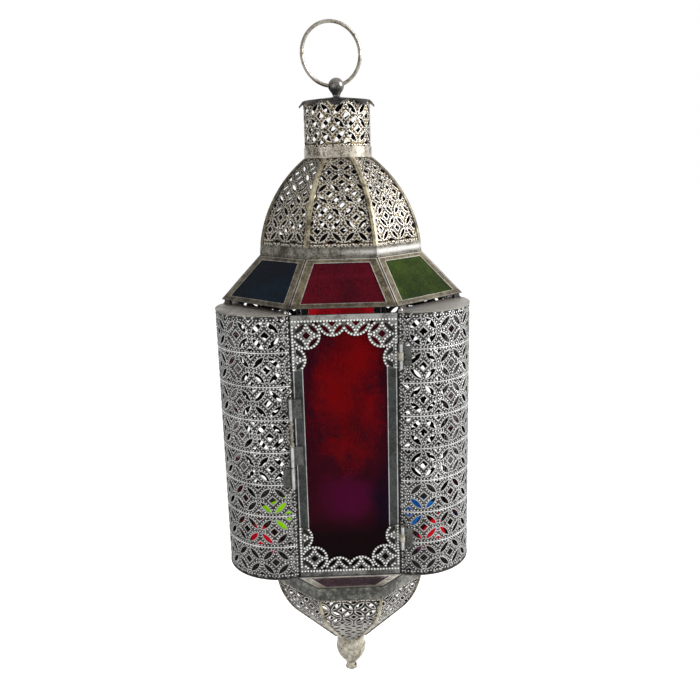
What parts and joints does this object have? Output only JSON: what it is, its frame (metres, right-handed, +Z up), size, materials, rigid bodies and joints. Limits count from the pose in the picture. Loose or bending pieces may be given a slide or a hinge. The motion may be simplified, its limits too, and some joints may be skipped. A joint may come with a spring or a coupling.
{
  "type": "hanging candle lantern",
  "caption": "Octagonal hanging candle lantern with bowed punched corner wings, leaded coloured glass, a hinged glazed door with a drop bolt, a dome, a punched bowl and a loose hanging ring.",
  "frame": {"origin": "the point on the inside of the hanging ring's top that rests on the hook, on the lantern's axis", "axes": "+Z up along the axis, -Y out of the front through the door, +X to the right of someone who faces the door"},
  "size_m": [0.247, 0.2517, 0.7231],
  "materials": {
    "pale_steel": "satin",
    "dark_pewter": "satin, dark patina",
    "punched_sheet": "antique silver with brown patina in the recesses",
    "band_sheet": "antique silver, brushed",
    "pale_came": "pale antique silver",
    "came": "satin, warm patina",
    "solder": "satin",
    "red_glass": "gloss",
    "crimson_glass": "gloss",
    "green_glass": "gloss",
    "navy_glass": "gloss",
    "blue_glass": "gloss",
    "purple_glass": "gloss",
    "lime_glass": "gloss",
    "smoky_glass": "gloss"
  },
  "bodies": {
    "ring": {"hanging_ring": "pale_steel"},
    "lantern": {"ball_knob": "dark_pewter", "knob_nut": "dark_pewter", "crown_cap": "dark_pewter", "neck_screen": "punched_sheet", "neck_band": "band_sheet", "dome_panels": "punched_sheet", "dome_ribs": "pale_came", "dome_band": "band_sheet", "roof_frames": "came", "roof_pane_s": "crimson_glass", "roof_pane_se": "green_glass", "roof_pane_e": "crimson_glass", "roof_pane_ne": "blue_glass", "roof_pane_n": "purple_glass", "roof_pane_nw": "green_glass", "roof_pane_w": "crimson_glass", "roof_pane_sw": "navy_glass", "roof_tabs": "solder", "wing_screen_se": "punched_sheet", "wing_screen_sw": "punched_sheet", "wing_screen_ne": "punched_sheet", "wing_screen_nw": "punched_sheet", "wing_top_plates": "dark_pewter", "wing_base_plates": "dark_pewter", "corner_posts": "dark_pewter", "base_ring": "dark_pewter", "side_frames": "came", "side_pane_e": "red_glass", "side_pane_n": "red_glass", "side_pane_w": "red_glass", "hinge_leaves": "band_sheet", "hinge_pins": "pale_steel", "bolt_keeper": "band_sheet", "skirt_frames": "came", "skirt_pane_s": "smoky_glass", "skirt_pane_se": "lime_glass", "skirt_pane_e": "red_glass", "skirt_pane_ne": "blue_glass", "skirt_pane_n": "purple_glass", "skirt_pane_nw": "lime_glass", "skirt_pane_w": "red_glass", "skirt_pane_sw": "blue_glass", "candle_tray": "dark_pewter", "candle_cup": "band_sheet", "bowl_panels": "punched_sheet", "bowl_ribs": "pale_came", "bowl_band": "band_sheet", "finial": "band_sheet"},
    "door": {"door_frame": "came", "door_pane": "red_glass", "door_lace_top": "pale_came", "door_lace_bottom": "pale_came", "door_knuckles": "pale_came", "bolt_guides": "pale_came"},
    "bolt": {"door_bolt": "pale_steel"}
  },
  "joints": [
    {"name": "ring_swing", "type": "hinge", "parent": "ring", "child": "lantern", "pos_m": [0, 0, -0.05836], "axis": [0.9418, 0.306, 0.1392], "range_deg": [-105, 105]},
    {"name": "door_hinge", "type": "hinge", "parent": "lantern", "child": "door", "pos_m": [0.05161, -0.1237, -0.39853], "axis": [0, 0, 1], "range_deg": [0, 170]},
    {"name": "bolt_slide", "type": "slide", "parent": "door", "child": "bolt", "axis": [0, 0, 1], "range_m": [0, 0.023]}
  ]
}
